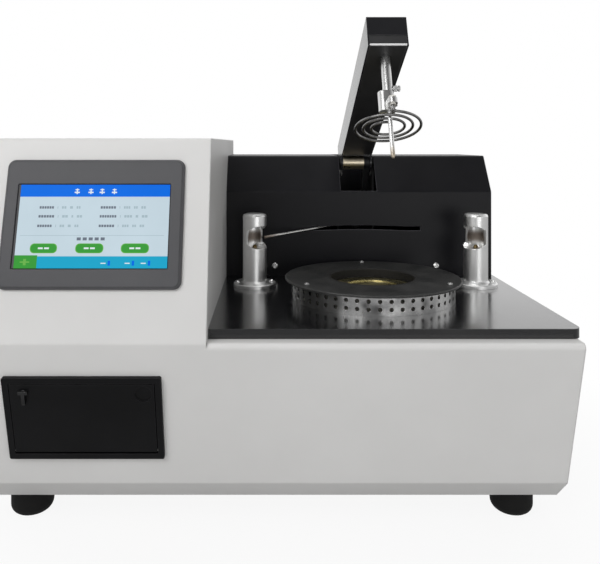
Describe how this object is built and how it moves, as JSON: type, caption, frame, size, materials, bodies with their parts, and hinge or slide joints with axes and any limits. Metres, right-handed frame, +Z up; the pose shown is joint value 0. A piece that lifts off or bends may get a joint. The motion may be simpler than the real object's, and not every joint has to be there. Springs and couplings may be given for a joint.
{
  "type": "flash point tester",
  "caption": "Automatic open-cup flash point tester with a touch screen tower, heater ring, swinging ignition tube and a lifting head arm.",
  "frame": {"origin": "middle of the bounding box at the level of the feet", "axes": "+X to the right seen from the front, +Y to the back, +Z up"},
  "size_m": [0.622, 0.4728, 0.5438],
  "materials": {
    "white_paint": "satin powder coat",
    "zinc": "zinc plated",
    "deck_black": "gloss",
    "housing_black": "semi-gloss powder coat",
    "bright_steel": "polished",
    "rubber_black": "matt",
    "bezel_grey": "fine texture",
    "screen": "gloss",
    "module_metal": "plain",
    "printer_black": "satin",
    "machine_grey": "satin",
    "paper": "matt",
    "insulation_white": "fibrous",
    "brass": "turned",
    "flange_dark": "heat resistant paint",
    "motor_black": "satin",
    "rod_steel": "ground",
    "wire_steel": "heat tinted",
    "ceramic": "glazed",
    "board_green": "solder mask",
    "inlet_black": "satin"
  },
  "bodies": {
    "root": {"base_pan": "white_paint", "front_panel": "white_paint", "side_left": "white_paint", "side_right": "white_paint", "tower_cover": "white_paint", "rear_panel": "white_paint", "sub_deck": "zinc", "deck_plate": "deck_black", "rear_housing": "housing_black", "housing_screws": "bright_steel", "case_screws": "zinc", "feet": "rubber_black", "display_bezel": "bezel_grey", "display_glass": "screen", "display_module": "module_metal", "printer_bezel": "printer_black", "printer_bay": "printer_black", "door_pin": "zinc", "printer_module": "machine_grey", "paper_spindle": "zinc", "heater_pan": "zinc", "insulation": "insulation_white", "heating_element": "zinc", "heating_plate": "brass", "heater_band": "bright_steel", "heater_flange": "flange_dark", "flange_screws": "bright_steel", "post_left": "bright_steel", "post_right": "bright_steel", "post_screws": "bright_steel", "pilot_nozzles": "brass", "igniter_motor": "motor_black", "guide_left": "zinc", "guide_right": "zinc", "lift_motor": "motor_black", "main_board": "board_green", "power_supply": "zinc", "gas_valve": "brass", "fan_frame": "machine_grey", "power_inlet": "inlet_black"},
    "lift_crank": {"lift_crank": "module_metal", "lift_shaft": "zinc"},
    "head_arm": {"arm_cover": "housing_black", "arm_base": "housing_black", "arm_pin": "zinc", "arm_bush": "brass", "tail_rollers": "zinc", "probe_holder": "bright_steel", "probe_rod": "rod_steel", "detection_ring": "wire_steel", "ring_bush": "ceramic"},
    "thumb_screw": {"thumb_screw": "zinc"},
    "igniter_arm": {"igniter_hub": "zinc", "ignition_tube": "bright_steel"},
    "printer_door": {"printer_door": "printer_black"},
    "door_latch": {"door_latch": "bright_steel"},
    "platen": {"platen_roller": "rubber_black"},
    "paper_roll": {"paper_roll": "paper"},
    "fan_rotor": {"fan_rotor": "machine_grey"},
    "power_switch": {"power_switch": "inlet_black"}
  },
  "joints": [
    {"name": "arm_lift", "type": "hinge", "parent": "root", "child": "lift_crank", "pos_m": [0.122, 0.12049, 0.32278], "axis": [-1, 0, 0], "range_deg": [0, 90]},
    {"name": "arm_tilt", "type": "hinge", "parent": "lift_crank", "child": "head_arm", "pos_m": [0.122, 0.08556, 0.38119], "axis": [1, 0, 0], "range_deg": [0, 114.5]},
    {"name": "probe_clamp", "type": "hinge", "parent": "head_arm", "child": "thumb_screw", "pos_m": [0.122, -0.18042, 0.46647], "axis": [1, 0, 0], "continuous": true},
    {"name": "igniter_sweep", "type": "hinge", "parent": "root", "child": "igniter_arm", "pos_m": [0.122, 0.1015, 0.2944], "axis": [0, 0, 1], "range_deg": [0, 103.46]},
    {"name": "printer_door", "type": "hinge", "parent": "root", "child": "printer_door", "pos_m": [-0.1875, -0.2077, 0.09778], "axis": [1, 0, 0], "range_deg": [0, 75]},
    {"name": "door_latch", "type": "hinge", "parent": "printer_door", "child": "door_latch", "pos_m": [-0.245, -0.22362, 0.16495], "axis": [0, -0.9659, -0.2588], "range_deg": [0, 90]},
    {"name": "paper_roll", "type": "hinge", "parent": "root", "child": "paper_roll", "pos_m": [-0.1875, -0.17894, 0.12955], "axis": [1, 0, 0], "continuous": true},
    {"name": "platen", "type": "hinge", "parent": "root", "child": "platen", "pos_m": [-0.1875, -0.20468, 0.15993], "axis": [1, 0, 0], "continuous": true},
    {"name": "fan_rotor", "type": "hinge", "parent": "root", "child": "fan_rotor", "pos_m": [-0.221, 0.2085, 0.105], "axis": [0, 1, 0], "continuous": true},
    {"name": "power_switch", "type": "hinge", "parent": "root", "child": "power_switch", "pos_m": [0.246, 0.2195, 0.1125], "axis": [-1, 0, 0], "range_deg": [0, 20]}
  ],
  "couplings": [
    {"joint": "arm_tilt", "follows": "arm_lift", "ratio": 1.2722},
    {"joint": "platen", "follows": "paper_roll", "ratio": 3.6}
  ]
}
